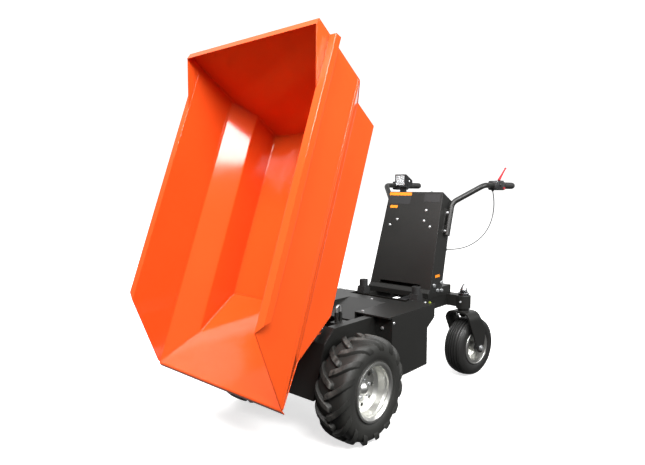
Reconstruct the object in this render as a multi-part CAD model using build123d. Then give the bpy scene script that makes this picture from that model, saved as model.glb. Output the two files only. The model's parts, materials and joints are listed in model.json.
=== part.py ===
from build123d import *
from math import atan2, cos, degrees, radians, sin, tan
import os

# Battery site dumper of the walk-behind kind: a tipping skip ahead of a tiller column.
# Millimetres. Built with x = 0 over the drive axle, y = 0 on the centre line, z = 0 on the ground,
# +X forward and +Y to the left, then moved so that the origin lies under the middle of the whole machine.

# Fits
running_fit = 0.05
seat_fit = 0.3
past = 1.0

# Drive wheels
drive_radius = 205.0
drive_width = 152.0
tyre_gap = 16.0
tyre_sides = 30
carcass_inset = 4.0
shoulder_drop = 9.0
lug_count = 15
lug_phase = 5.0
lug_sweep = 18.0
lug_tail_sweep = 22.0
lug_depth = 15.0
lug_width = 26.0
lug_draft = 9.0
lug_cross = 5.0
lug_shoulder = 12.0
lug_tail_drop = 42.0
drive_rim_width = 140.0
bead_radius = 101.0
rim_lip_radius = 114.0
rim_lip = 6.0
rim_wall = 4.0
rim_step = 8.0
rim_disc_out = 6.0
rim_disc_sheet = 6.0
rim_dish = 12.0
hub_radius = 42.0
hub_length = 66.0
hub_flange = 8.0
hub_cap_radius = 28.0
hub_cap = 18.0
spindle_radius = 15.0
axle_tube_radius = 20.0
hand_hole_count = 8
hand_hole_radius = 8.0
hand_hole_circle = 64.0

# Casters
caster_radius = 153.0
caster_width = 108.0
caster_sides = 24
caster_ribs = 4
caster_groove = 5.0
caster_shoulder = 14.0
caster_crown = 8.0
caster_swivel_x = -918.0
caster_y = 261.0
caster_trail = 54.0
caster_bead_radius = 75.0
caster_rim_width = 100.0
caster_lip_radius = 84.0
caster_hub_radius = 26.0
caster_web = 10.0
caster_pin_radius = 10.0
caster_pin_head = 8.0
fork_sheet = 8.0
fork_gap = 14.0
fork_crown_gap = 30.0
fork_half = 46.0
fork_depth = 44.0
fork_waist = 26.0
fork_hip = 96.0
fork_heel = 148.0
fork_back = 34.0
fork_bend = 36.0
fork_end_radius = 24.0
thrust_washer = 13.0
thrust_radius = 28.0
stem_radius = 20.0
stem_nut = 8.0
stem_nut_radius = 26.0
stem_gap = 1.0
sleeve_radius = 37.0
sleeve_height = 66.0
swivel_angle = -10.0

# Chassis between the drive wheels
plate = 5.0
chassis_half = 203.0
axle_drop = 27.0
chassis_top_z = 430.0
chassis_rear_x = -225.0
chassis_nose_x = 170.0
nose_bend_x = 107.0
nose_bend_z = 379.0
nose_top_x = 52.0
top_flange = 33.0

# Battery box and deck
box_sheet = 4.0
box_half = 285.0
box_base_z = 167.0
box_rear_x = -514.0
box_flare_x = -578.0
box_step_z = 336.0
box_flare_z = 375.0
deck_z = 438.0
deck_sheet = 6.0
deck_front_x = -200.0
deck_gap = 5.0
ramp_x = -440.0
ramp_half = 108.0
ramp_fall = 40.0
deck_notch_half = 165.0
pack_length = 250.0
pack_half = 210.0
pack_height = 200.0
pack_gap = 10.0

# Transaxle
gear_case_length = 150.0
gear_case_half = 95.0
gear_case_height = 130.0
motor_radius = 62.0
motor_length = 120.0
case_clearance = 6.0

# Rear frame
tube_height = 59.0
tube_width = 50.0
rail_inner_y = 130.0
rail_step = 1.0
beam_depth = 56.0

# Tiller column
column_sheet = 3.0
column_front_x = -715.0
column_top_x = -859.0
column_top_z = 952.0
column_depth = 118.0
column_panel_drop = 52.0
column_panel_run = 101.0
column_base_half = 182.0
column_top_half = 162.0
panel_sheet = 6.0
gauge_radius = 27.0
gauge_height = 8.0
gauge_rim = 4.0
key_radius = 10.0
key_height = 12.0
rocker_size = 26.0
control_pitch = 62.0
base_slot_half = 122.0
base_slot_height = 18.0
pedestal_height = 44.0
pedestal_sheet = 5.0
pedestal_heel = 12.0
pedestal_ledge = 18.0
socket_length = 87.0

# Handlebar
bar_radius = 14.0
bar_side_y = 186.0
bar_low = (-866.0, 730.0)
bar_bend = (-914.0, 897.0)
bar_bend_radius = 55.0
grip_y = 304.0
grip_z = 988.0
grip_bend_x = -1030.0
grip_end_x = -1401.0
grip_length = 150.0
grip_radius = 17.0
grip_flange = 5.0
grip_end = 6.0
grip_fit = 0.1
saddle_heights = (765.0, 845.0)
saddle_size = 34.0
saddle_plate_half = 26.0
perch_length = 118.0
perch_radius = 21.0
perch_gap = 2.0
perch_head_length = 52.0
perch_head_half = 14.0
perch_head_base = 10.0
perch_head_top = 27.0
lever_setback = 30.0
lever_width = 20.0
lever_length = 100.0
lever_thick = 8.0
lever_rise = 38.0

# Brake cable, hanging from the lever perch to the back of the column
cable_radius = 2.5
cable_slack = 0.45
cable_points = [
    (-1140, 304, 958), (-1157, 304, 922), (-1165, 303, 877), (-1158, 301, 824), (-1132, 295, 771),
    (-1092, 282, 724), (-1044, 259, 687), (-994, 227, 662), (-948, 190, 652), (-914, 160, 652),
]
gland_radius = 8.0
gland_length = 50.0
ferrule_radius = 6.0
ferrule_length = 24.0

# Work lamp
lamp_width = 64.0
lamp_height = 63.0
lamp_depth = 76.0
lamp_bezel = 12.0
lamp_slope = 32.0
lamp_fins = 5
lamp_fin_gap = 3.0
lamp_fin_depth = 34.0
lamp_setback = 11.0
lamp_y = -105.0
lamp_lift = 31.0
lamp_rim = 4.0
lens_depth = 6.0
lens_inset = 1.0
yoke_sheet = 3.0
yoke_width = 24.0
yoke_setback = 34.0
yoke_rise = 26.0
yoke_gap = 6.0
yoke_pin_radius = 5.0
stalk_half = 13.0
stalk_foot = 18.0

# Skip, in its own frame: u forward, w up, floor underside at w = 0
skip_sheet = 3.0
skip_bend = 9.0
floor_half = 275.0
rim_half = 345.0
wall_z = 129.0
slant_z = 224.0
seam_rise = 10.0
rim_z = 418.0
head_z = 478.0
rear_u = -442.0
rear_lean = 0.303
floor_front_u = 284.5
lip_u = 620.8
rim_front_u = 402.0
gusset_u = -380.0
rim_flange = 29.0
rim_return = 26.0
rim_taper = 25.0
return_slant = 17.0
head_fold = 26.0
lip_fold = 14.0
runner_height = 40.0
runner_width = 50.0
runner_y = 169.0
runner_rear_u = -340.0
runner_stop = 120.0

# Skip hinge
pivot_x = 110.0
pivot_z = 440.0
pivot_u = 345.0
pivot_w = -60.0
tip_angle = 70.43
hinge_pin_radius = 12.0
hinge_boss_radius = 28.0
hinge_neck = (24.0, 14.0)
ear_y = 150.0
ear_sheet = 8.0
lug_sheet = 12.0
lug_gap = 5.0
lug_heel = 115.0
lug_rise = 30.0
pin_head = 5.0
pin_head_radius = 18.0

# Rest buffers and the catch
rest_clearance = 5.0
rest_x = -621.0
rest_radius = 22.0
rest_height = 34.0
rest_recess = 6.0
rest_recess_radius = 14.0
rest_foot = 30.0
catch_x = -60.0
catch_inset = 33.0
catch_half = 32.0
catch_lap = 20.0
catch_toe = 18.0
catch_span = 26.0
catch_post_height = 40.0
catch_post_radius = 8.0
catch_wire_radius = 4.0
catch_drop = 5.0

# Places that follow from the sizes above
drive_centre_y = chassis_half + tyre_gap + drive_width / 2
chassis_base_z = drive_radius - axle_drop
fork_top_z = 2 * caster_radius + fork_crown_gap + fork_sheet
sleeve_base_z = fork_top_z + thrust_washer
sleeve_top_z = sleeve_base_z + sleeve_height
rail_top = sleeve_top_z + rail_step
beam_front = caster_swivel_x + beam_depth / 2
column_base_z = rail_top + pedestal_height
pedestal_rear_x = column_front_x - column_depth - pedestal_heel
socket_rear_x = pedestal_rear_x - socket_length
rest_y = rail_inner_y + tube_width - rest_radius
lamp_x = column_top_x - lamp_setback
lamp_base_z = column_top_z + lamp_lift
floor_low_z = pivot_z - pivot_w
low = (Align.CENTER, Align.CENTER, Align.MIN)
nodes = {}


def slab(x0, x1, y0, y1, z0, z1):
    return Pos(x0, y0, z0) * Box(x1 - x0, y1 - y0, z1 - z0, align=(Align.MIN, Align.MIN, Align.MIN))


def prism(points, y0, y1):
    outline = make_face(Polyline(*points, close=True))
    return extrude(Plane.XZ.offset(-y1) * outline, amount=y1 - y0)


def rod_y(x, z, radius, y0, y1):
    return Pos(x, y1, z) * Rot(90, 0, 0) * Cylinder(radius, y1 - y0, align=low)


def rod_x(x0, x1, y, z, radius):
    return Pos(x0, y, z) * Rot(0, 90, 0) * Cylinder(radius, x1 - x0, align=low)


def rod_z(x, y, radius, z0, z1):
    return Pos(x, y, z0) * Cylinder(radius, z1 - z0, align=low)


def spin_y(points):
    return revolve(Plane.YZ * make_face(Polyline(*points, close=True)), axis=Axis.Y)


def flat_solid(polygons):
    return Solid(Shell([Face(Wire.make_polygon(corners)) for corners in polygons]))


def around(angle, y, radius):
    turn = radians(angle)
    return Vector(radius * cos(turn), y, radius * sin(turn))


# A body turned about the y axis in flat sides: points are (y, radius to the middle of a side)
def many_sided(points, sides):
    step = 360 / sides
    stretch = 1 / cos(radians(step / 2))
    rows = [[around((i + 0.5) * step, y, r * stretch) for y, r in points] for i in range(sides)]
    polygons = []
    for here, after in zip(rows, rows[1:] + rows[:1]):
        for i in range(len(points)):
            j = (i + 1) % len(points)
            polygons.append([here[i], here[j], after[j], after[i]])
    return flat_solid(polygons)


def mirrored(solid):
    return mirror(solid, about=Plane.XZ)


def both(name, left):
    nodes[name + "_left"] = left
    nodes[name + "_right"] = mirrored(left)


def unit(start, end):
    return (Vector(*end) - Vector(*start)).normalized()


# Drive wheels: lugged tractor tyre on a dished steel rim, running on the axle spindle.
# The lugs lie in two rows, half a pitch apart, and lean so that their noses meet the ground first.
def tyre_lug(side, angle):
    half = drive_width / 2
    spread = degrees(lug_width / 2 / drive_radius)
    foot = spread + degrees(lug_draft / drive_radius)
    tip = drive_radius
    stations = [
        (0, spread, -lug_cross, tip), (lug_sweep, spread, half - lug_shoulder, tip - lug_depth / 2),
        (lug_tail_sweep, foot, half, tip - lug_tail_drop),
        (0, foot, -lug_cross - lug_draft, tip - 2 * lug_depth),
    ]
    back = [around(angle + lead - wide, side * y, r) for lead, wide, y, r in stations]
    front = [around(angle + lead + wide, side * y, r) for lead, wide, y, r in stations]
    polygons = [[back[0], back[1], back[2]], [back[0], back[2], back[3]]]
    polygons += [[front[0], front[1], front[2]], [front[0], front[2], front[3]]]
    for i in range(4):
        j = (i + 1) % 4
        polygons += [[back[i], back[j], front[j]], [back[i], front[j], front[i]]]
    return flat_solid(polygons)


def drive_tyre():
    half = drive_width / 2 - carcass_inset
    bead = drive_rim_width / 2 - rim_lip
    wall = rim_lip_radius + rim_wall
    tread = drive_radius - lug_depth
    belly = (wall + tread) / 2
    outer = [(bead, bead_radius), (bead, wall), (half, belly)]
    outer += [(half - shoulder_drop / 2, tread - shoulder_drop), (half - 2 * shoulder_drop, tread)]
    points = [(-y, r) for y, r in outer] + outer[::-1]
    pitch = 360 / lug_count
    lugs = [tyre_lug(1, i * pitch) for i in range(lug_count)]
    lugs += [tyre_lug(-1, (i + 0.5) * pitch) for i in range(lug_count)]
    tyre = many_sided(points, tyre_sides).fuse(*lugs)
    return Pos(0, drive_centre_y, drive_radius) * Rot(0, -lug_phase, 0) * tyre


def drive_rim():
    half = drive_rim_width / 2
    inner = bead_radius - rim_wall
    back = rim_disc_out - rim_disc_sheet
    bore = spindle_radius + running_fit
    dish = Polyline(
        (half, rim_lip_radius), (half, rim_lip_radius - rim_step), (half - rim_step, inner),
        (half - 2 * rim_step, inner), (half - 3 * rim_step, inner - rim_step / 2),
        (rim_disc_out + rim_dish, inner - rim_step), (rim_disc_out, inner - rim_step - rim_dish),
        (rim_disc_out, hub_radius + hub_flange), (rim_disc_out + hub_flange, hub_radius),
        (rim_disc_out + hub_flange, hub_cap_radius),
    )
    cap_base = rim_disc_out + hub_flange
    sphere = (hub_cap ** 2 + hub_cap_radius ** 2) / (2 * hub_cap)
    halfway = around(degrees(atan2(hub_cap_radius, sphere - hub_cap)) / 2, 0, sphere)
    cap_tip = cap_base + hub_cap
    dome = ThreePointArc((cap_base, hub_cap_radius), (cap_tip - sphere + halfway.X, halfway.Z), (cap_tip, 0))
    rest = Polyline(
        (cap_tip, 0), (rim_disc_out, 0), (rim_disc_out, bore), (rim_disc_out - hub_length, bore),
        (rim_disc_out - hub_length, hub_radius), (back, hub_radius), (back, inner - rim_step - rim_dish),
        (back + rim_dish, inner), (-half, inner), (-half, rim_lip_radius), (rim_lip - half, rim_lip_radius),
        (rim_lip - half, bead_radius), (half - rim_lip, bead_radius), (half - rim_lip, rim_lip_radius),
        (half, rim_lip_radius),
    )
    rim = revolve(Plane.YZ * make_face([dish, dome, rest]), axis=Axis.Y)
    for hole in PolarLocations(hand_hole_circle, hand_hole_count):
        spot = hole.position
        rim -= rod_y(spot.X, spot.Y, hand_hole_radius, back - rim_dish, rim_disc_out + rim_dish)
    return Pos(0, drive_centre_y, drive_radius) * rim


both("drive_tyre", drive_tyre())
both("drive_rim", drive_rim())


# Casters: ribbed tyre in a swivelling fork, its stem turning in the frame's sleeve
def caster_tyre():
    half = caster_width / 2
    bead = caster_rim_width / 2 - rim_lip
    wall = caster_lip_radius + rim_wall
    edge = half - caster_shoulder
    outer = [(bead, caster_bead_radius), (bead, wall), (half, (wall + caster_radius) / 2)]
    outer.append((half - caster_shoulder / 2, caster_radius - caster_shoulder))
    tread = []
    rib = 2 * edge / (caster_ribs + (caster_ribs - 1) / 2)
    for i in range(caster_ribs):
        start = -edge + 1.5 * i * rib
        cuts = [(start, 0), (start + rib, 0), (start + 1.25 * rib, caster_groove)]
        tread += [(y, caster_radius - caster_crown * (y / edge) ** 2 - deep) for y, deep in cuts]
    tread.pop()
    points = [(-y, r) for y, r in outer] + tread + outer[::-1]
    return many_sided(points, caster_sides)


def caster_rim():
    half = caster_rim_width / 2
    inner = caster_bead_radius - rim_wall
    web = caster_web / 2
    bore = caster_pin_radius + running_fit
    points = [
        (-half, inner), (-half, caster_lip_radius), (-half + rim_lip, caster_lip_radius),
        (-half + rim_lip, caster_bead_radius), (half - rim_lip, caster_bead_radius),
        (half - rim_lip, caster_lip_radius), (half, caster_lip_radius), (half, inner),
        (web, inner - caster_web), (web, caster_hub_radius), (half, caster_hub_radius), (half, bore),
        (-half, bore), (-half, caster_hub_radius), (-web, caster_hub_radius), (-web, inner - caster_web),
    ]
    return spin_y(points)


# The fork is a strap bent to a U: its section across the wheel, cut to the outline seen from the side
def caster_fork():
    arm = caster_width / 2 + fork_gap
    deep = 2 * caster_radius
    strap = RectangleRounded(2 * (arm + fork_sheet), deep, fork_bend + fork_sheet)
    strap -= RectangleRounded(2 * arm, deep - 2 * fork_sheet, fork_bend)
    front = caster_trail + fork_half
    rear = caster_trail - fork_half
    section = Plane.YZ.offset(-fork_back) * (Pos(0, fork_top_z - deep / 2) * strap)
    outline = [
        (rear, fork_top_z + past), (front, fork_top_z + past), (front, fork_top_z - fork_depth),
        (0.8 * fork_end_radius, caster_radius - 0.6 * fork_end_radius), (-fork_end_radius, caster_radius),
        (-fork_back, fork_top_z - fork_heel), (-fork_back, fork_top_z - fork_hip),
        (rear, fork_top_z - fork_waist),
    ]
    reach = arm + fork_sheet
    shape = prism(outline, -reach, reach) + rod_y(0, caster_radius, fork_end_radius, -reach, reach)
    fork = extrude(section, amount=front + fork_back) & shape
    fork += rod_z(caster_trail, 0, thrust_radius, fork_top_z, sleeve_base_z - seat_fit)
    nut_base = sleeve_top_z + stem_gap
    fork += rod_z(caster_trail, 0, stem_radius, fork_top_z, nut_base)
    fork += rod_z(caster_trail, 0, stem_nut_radius, nut_base, nut_base + stem_nut)
    pin_end = reach + caster_pin_head
    return fork + rod_y(0, caster_radius, caster_pin_radius, -pin_end, pin_end)


def casters(name, solid):
    for side, y in (("_left", caster_y), ("_right", -caster_y)):
        stem = Pos(caster_swivel_x, y, 0) * Rot(0, 0, swivel_angle)
        nodes[name + side] = stem * Pos(-caster_trail, 0, 0) * solid


casters("caster_tyre", Pos(0, 0, caster_radius) * caster_tyre())
casters("caster_rim", Pos(0, 0, caster_radius) * caster_rim())
casters("caster_fork", caster_fork())


# Chassis between the wheels
def nose_line(inset):
    return [
        (chassis_nose_x - inset, chassis_base_z + inset), (nose_bend_x - inset, nose_bend_z - inset / 2),
        (nose_top_x - inset / 2, chassis_top_z - inset),
    ]


def chassis_side():
    outline = [(chassis_rear_x, chassis_base_z)] + nose_line(0) + [(chassis_rear_x, chassis_top_z)]
    inner = chassis_half - plate
    side = prism(outline, inner, chassis_half)
    side += slab(deck_front_x + deck_gap, nose_top_x - plate, inner - top_flange, inner,
                 chassis_top_z - plate, chassis_top_z)
    return side - rod_y(0, drive_radius, axle_tube_radius + seat_fit, inner - plate, chassis_half + plate)


def chassis_nose():
    skin = nose_line(0) + nose_line(plate)[::-1]
    return prism(skin, plate - chassis_half, chassis_half - plate)


def chassis_belly():
    half = chassis_half - plate
    return slab(chassis_rear_x, chassis_nose_x - plate, -half, half, chassis_base_z, chassis_base_z + plate)


both("chassis_side", chassis_side())
nodes["chassis_nose"] = chassis_nose()
nodes["chassis_belly"] = chassis_belly()


# Transaxle with its motor, and the spindles that carry the drive wheels
def transaxle():
    reach = drive_centre_y + rim_disc_out - running_fit
    tube_end = chassis_half + plate
    axle = rod_y(0, drive_radius, axle_tube_radius, -tube_end, tube_end)
    axle += rod_y(0, drive_radius, spindle_radius, -reach, reach)
    low_z = chassis_base_z + plate + case_clearance
    half_length = gear_case_length / 2
    axle += slab(-half_length, half_length, -gear_case_half, gear_case_half, low_z, low_z + gear_case_height)
    axle += rod_x(-half_length - motor_length, -half_length, 0, low_z + motor_radius, motor_radius)
    return axle


nodes["transaxle"] = transaxle()


# Battery box, its pack and the deck over it, which dips to a ramp in the middle
def ramp_space():
    under = deck_z - deck_sheet
    points = [(ramp_x, deck_z + past), (ramp_x, under)]
    points += [(deck_front_x, under - ramp_fall), (deck_front_x, deck_z + past)]
    return prism(points, -ramp_half - deck_sheet, ramp_half + deck_sheet)


def battery_box():
    lid = deck_z - deck_sheet
    outline = [
        (chassis_rear_x, box_base_z), (chassis_rear_x, lid), (box_flare_x, lid), (box_flare_x, box_flare_z),
        (box_rear_x, box_step_z), (box_rear_x, box_base_z),
    ]
    shell = prism(outline, -box_half, box_half)
    inside = offset(make_face(Polyline(*outline, close=True)), amount=-box_sheet, kind=Kind.INTERSECTION)
    depth = box_half - box_sheet
    shell -= extrude(Plane.XZ.offset(-depth) * inside, amount=2 * depth)
    shell -= slab(box_flare_x + box_sheet, chassis_rear_x - box_sheet, -depth, depth,
                  lid - 2 * box_sheet, lid)
    return shell - ramp_space()


def battery_pack():
    front = chassis_rear_x - box_sheet - pack_gap
    base = box_base_z + box_sheet
    return slab(front - pack_length, front, -pack_half, pack_half, base, base + pack_height)


def deck():
    under = deck_z - deck_sheet
    cover = slab(box_flare_x, deck_front_x, -box_half, box_half, under, deck_z)
    cover -= slab(ramp_x, deck_front_x + past, -ramp_half, ramp_half, under - past, deck_z + past)
    cover -= slab(box_flare_x - past, box_rear_x, -deck_notch_half, deck_notch_half,
                  under - past, deck_z + past)
    slope = [(ramp_x, deck_z), (ramp_x, under), (deck_front_x, under - ramp_fall)]
    cover += prism(slope + [(deck_front_x, deck_z - ramp_fall)], -ramp_half, ramp_half)
    cheeks = prism(slope + [(deck_front_x, deck_z)], ramp_half, ramp_half + deck_sheet)
    return cover + cheeks + mirrored(cheeks)


nodes["battery_box"] = battery_box()
nodes["battery_pack"] = battery_pack()
nodes["deck_plate"] = deck()


# Rear frame: two rails, a cross beam and the caster sleeves
def rear_frame():
    low_z = rail_top - tube_height
    frame = slab(beam_front - beam_depth, beam_front, -caster_y, caster_y, low_z, rail_top)
    for side in (1, -1):
        y0, y1 = sorted((side * rail_inner_y, side * (rail_inner_y + tube_width)))
        frame += slab(beam_front, box_flare_x, y0, y1, low_z, rail_top)
        frame += rod_z(caster_swivel_x, side * caster_y, sleeve_radius, sleeve_base_z, sleeve_top_z)
    bore = stem_radius + running_fit
    for y in (caster_y, -caster_y):
        frame -= rod_z(caster_swivel_x, y, bore, sleeve_base_z - past, rail_top + past)
        frame -= rod_z(caster_swivel_x, y, sleeve_radius, sleeve_top_z, rail_top + past)
    return frame


nodes["rear_frame"] = rear_frame()


# Tiller column on its pedestal
column_rear_top = (column_top_x - column_panel_run, column_top_z - column_panel_drop)
column_rear_low = (column_front_x - column_depth, column_base_z)


def column_outline(inset):
    points = [(column_front_x, column_base_z), (column_top_x, column_top_z), column_rear_top, column_rear_low]
    face = make_face(Polyline(*points, close=True))
    return offset(face, amount=-inset, kind=Kind.INTERSECTION) if inset else face


def column_body(inset):
    half = column_base_half
    block = extrude(Plane.XZ.offset(-half) * column_outline(inset), amount=2 * half)
    span = [
        (inset - column_base_half, column_base_z), (column_base_half - inset, column_base_z),
        (column_top_half - inset, column_top_z), (inset - column_top_half, column_top_z),
    ]
    taper = make_face(Polyline(*span, close=True))
    front = column_front_x + column_depth
    reach = front - column_rear_top[0] + column_depth
    return block & extrude(Plane.YZ.offset(front - reach) * taper, amount=reach)


def panel_cut(depth):
    slope = column_panel_drop / column_panel_run
    ends = (column_top_x + column_panel_run, column_top_x - 2 * column_panel_run)
    surface = [(x, column_top_z + slope * (x - column_top_x)) for x in ends]
    points = [(x, z + panel_sheet) for x, z in surface] + [(x, z - depth) for x, z in surface[::-1]]
    return prism(points, -column_base_half, column_base_half)


def back_cut():
    lean = (column_rear_low[0] - column_rear_top[0]) / (column_rear_top[1] - column_rear_low[1])
    step = column_sheet * (1 + lean ** 2) ** 0.5
    points = [column_rear_low, column_rear_top]
    points += [(x + step, z) for x, z in points[::-1]]
    return prism(points, -column_base_half, column_base_half)


# Gauge, key switch and rocker, moulded with the panel
def panel_controls():
    middle = Vector(column_top_x - column_panel_run / 2, 0, column_top_z - column_panel_drop / 2)
    top = Plane(middle, x_dir=(0, 1, 0), z_dir=(-column_panel_drop, 0, column_panel_run))
    gauge = Cylinder(gauge_radius, gauge_height, align=low)
    gauge -= Pos(0, 0, gauge_height / 2) * Cylinder(gauge_radius - gauge_rim, gauge_height, align=low)
    key = Pos(control_pitch, 0, 0) * Cylinder(key_radius, key_height, align=low)
    rocker = Pos(-control_pitch, 0, 0) * Box(rocker_size, 0.7 * rocker_size, gauge_height, align=low)
    return top * (gauge + key + rocker)


def pedestal():
    front = column_front_x + pedestal_ledge
    outline = [
        (pedestal_rear_x, rail_top), (front, rail_top), (front, column_base_z - pedestal_ledge),
        (column_front_x, column_base_z), (pedestal_rear_x, column_base_z),
    ]
    base = prism(outline, -column_base_half, column_base_half)
    inner = column_base_half - pedestal_sheet
    base -= slab(pedestal_rear_x + pedestal_sheet, column_front_x - pedestal_sheet, -inner, inner,
                 rail_top - past, column_base_z - pedestal_sheet)
    for side in (1, -1):
        y0, y1 = sorted((side * rail_inner_y, side * (rail_inner_y + tube_width)))
        base += slab(socket_rear_x, pedestal_rear_x, y0, y1, rail_top, column_base_z)
        base -= slab(socket_rear_x - past, pedestal_rear_x - pedestal_sheet,
                     y0 + pedestal_sheet, y1 - pedestal_sheet,
                     rail_top + pedestal_sheet, column_base_z - pedestal_sheet)
    return base


outer_column = column_body(0)
top_plate = panel_cut(panel_sheet)
back_plate = back_cut()
shell = outer_column - column_body(column_sheet) - top_plate - back_plate
shell -= slab(column_front_x - column_depth / 2, column_front_x + past, -base_slot_half, base_slot_half,
              column_base_z - past, column_base_z + base_slot_height)
nodes["column_shell"] = shell
nodes["column_back"] = (outer_column & back_plate) - top_plate
nodes["control_panel"] = (outer_column & top_plate) + panel_controls()
nodes["column_pedestal"] = pedestal()


# Handlebars, saddles, grips, brake lever and throttle
def handlebar():
    path = FilletPolyline(
        (bar_low[0], bar_side_y, bar_low[1]), (bar_bend[0], bar_side_y, bar_bend[1]),
        (grip_bend_x, grip_y, grip_z), (grip_end_x + grip_end, grip_y, grip_z), radius=bar_bend_radius,
    )
    start = Plane(path @ 0, z_dir=path % 0)
    return sweep(start * Circle(bar_radius), path=path)


def bar_x(height):
    share = (height - bar_low[1]) / (bar_bend[1] - bar_low[1])
    return bar_low[0] + share * (bar_bend[0] - bar_low[0])


def saddles():
    inner = column_top_half - saddle_size / 2
    ends = (saddle_heights[0] - saddle_plate_half, saddle_heights[1] + saddle_plate_half)
    points = [(bar_x(z) - saddle_plate_half, z) for z in ends]
    points += [(bar_x(z) + saddle_plate_half, z) for z in ends[::-1]]
    blocks = prism(points, inner, bar_side_y - bar_radius)
    half = saddle_size / 2
    for height in saddle_heights:
        x = bar_x(height)
        blocks += slab(x - half, x + half, inner, bar_side_y, height - half, height + half)
    return blocks


bar = handlebar()
both("handlebar", bar)
pair = saddles() - outer_column - bar
nodes["bar_saddles"] = pair + mirrored(pair)


def grip():
    tail = grip_end_x + grip_length
    sleeve = rod_x(grip_end_x, tail, grip_y, grip_z, grip_radius)
    sleeve += rod_x(tail - grip_end, tail, grip_y, grip_z, grip_radius + grip_flange)
    return sleeve - rod_x(grip_end_x + grip_end, tail + past, grip_y, grip_z, bar_radius + grip_fit)


both("grip", grip())
perch_rear = grip_end_x + grip_length + perch_gap
exit_way = unit(cable_points[0], cable_points[1])
entry_way = unit(cable_points[-2], cable_points[-1])


def perch(side):
    y = side * grip_y
    body = rod_x(perch_rear, perch_rear + perch_length, y, grip_z, perch_radius)
    body += slab(perch_rear, perch_rear + perch_head_length, y - perch_head_half, y + perch_head_half,
                 grip_z + perch_head_base, grip_z + perch_head_top)
    if side > 0:
        exit_plane = Plane(Vector(*cable_points[0]), z_dir=exit_way * -1)
        body += exit_plane * Cylinder(ferrule_radius, ferrule_length, align=low)
    bore = rod_x(perch_rear - past, perch_rear + 2 * perch_length, y, grip_z, bar_radius + grip_fit)
    return body - bore


def brake_lever():
    base = Pos(perch_rear + lever_setback, grip_y, grip_z + perch_head_top)
    blade = Pos(-lever_length / 2, 0, lever_thick / 2) * Box(lever_length, lever_width, lever_thick)
    blade += Pos(-lever_length, 0, lever_thick / 2) * Cylinder(lever_width / 2, lever_thick)
    return base * Rot(0, lever_rise, 0) * blade


nodes["brake_perch"] = perch(1)
nodes["throttle"] = perch(-1)
nodes["brake_lever"] = brake_lever() - nodes["brake_perch"]


# Brake cable: a line through the points with every corner rounded
def cable():
    radii = []
    points = [Vector(*p) for p in cable_points]
    for before, here, after in zip(points, points[1:], points[2:]):
        turn = (here - before).get_angle(after - here)
        run = min((here - before).length, (after - here).length)
        radii.append(cable_slack * run / tan(radians(turn / 2)))
    path = FilletPolyline(*cable_points, radius=radii)
    return sweep(Plane(path @ 0, z_dir=path % 0) * Circle(cable_radius), path=path)


nodes["brake_cable"] = cable()
gland = Plane(Vector(*cable_points[-1]), z_dir=entry_way) * Cylinder(gland_radius, gland_length, align=low)
nodes["cable_gland"] = gland - outer_column


# Work lamp in a yoke at the right of the column's top
def lamp_housing():
    half = lamp_width / 2
    rear = lamp_x - lamp_depth
    top = lamp_base_z + lamp_height
    outline = [
        (lamp_x, lamp_base_z), (lamp_x, top), (lamp_x - lamp_bezel, top),
        (rear, top - lamp_slope), (rear, lamp_base_z),
    ]
    body = prism(outline, lamp_y - half, lamp_y + half)
    body -= slab(lamp_x - lens_depth, lamp_x + past, lamp_y - half + lamp_rim, lamp_y + half - lamp_rim,
                 lamp_base_z + lamp_rim, top - lamp_rim)
    pitch = lamp_width / lamp_fins
    for i in range(1, lamp_fins):
        y = lamp_y - half + i * pitch
        body -= slab(rear - past, rear + lamp_fin_depth, y - lamp_fin_gap / 2, y + lamp_fin_gap / 2,
                     lamp_base_z - past, top + past)
    return body


def lamp_lens():
    half = lamp_width / 2 - lamp_rim
    return slab(lamp_x - lens_depth, lamp_x - lens_inset, lamp_y - half, lamp_y + half,
                lamp_base_z + lamp_rim, lamp_base_z + lamp_height - lamp_rim)


def lamp_bracket():
    x = lamp_x - yoke_setback
    half = lamp_width / 2
    base = lamp_base_z - yoke_gap
    pin_z = lamp_base_z + yoke_rise
    back = x - yoke_width / 2
    front = x + yoke_width / 2
    outer = half + yoke_sheet
    yoke = slab(back, front, lamp_y - outer, lamp_y + outer, base - yoke_sheet, base)
    for side in (1, -1):
        y0, y1 = sorted((lamp_y + side * half, lamp_y + side * outer))
        yoke += slab(back, front, y0, y1, base - yoke_sheet, pin_z)
        yoke += rod_y(x, pin_z, yoke_width / 2, y0, y1)
        yoke += rod_y(x, pin_z, yoke_pin_radius, y0 - yoke_sheet * (side < 0), y1 + yoke_sheet * (side > 0))
    foot_z = column_top_z - 2 * column_panel_drop
    for wide, top in ((stalk_half, base), (stalk_foot, column_top_z)):
        yoke += slab(x - wide, x + wide, lamp_y - wide, lamp_y + wide, foot_z, top)
    return yoke - outer_column


nodes["lamp_housing"] = lamp_housing()
nodes["lamp_lens"] = lamp_lens()
nodes["lamp_bracket"] = lamp_bracket()


# Skip panels in the skip's own frame, then tipped about the hinge
def rear_at(w):
    return rear_u - rear_lean * w


# Rolled corners run along the skip where the trough is bent
def section(inset):
    top = 2 * head_z
    points = [
        (-floor_half, 0), (floor_half, 0), (floor_half, wall_z), (rim_half, slant_z), (rim_half, top),
        (-rim_half, top), (-rim_half, slant_z), (-floor_half, wall_z),
    ]
    face = make_face(Polyline(*points, close=True))
    face = fillet(face.vertices().filter_by(lambda v: v.Y < rim_z), skip_bend)
    face = offset(face, amount=-inset, kind=Kind.INTERSECTION) if inset else face
    return extrude(Plane.YZ.offset(rear_at(top)) * face, amount=2 * lip_u - rear_at(top))


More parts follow.
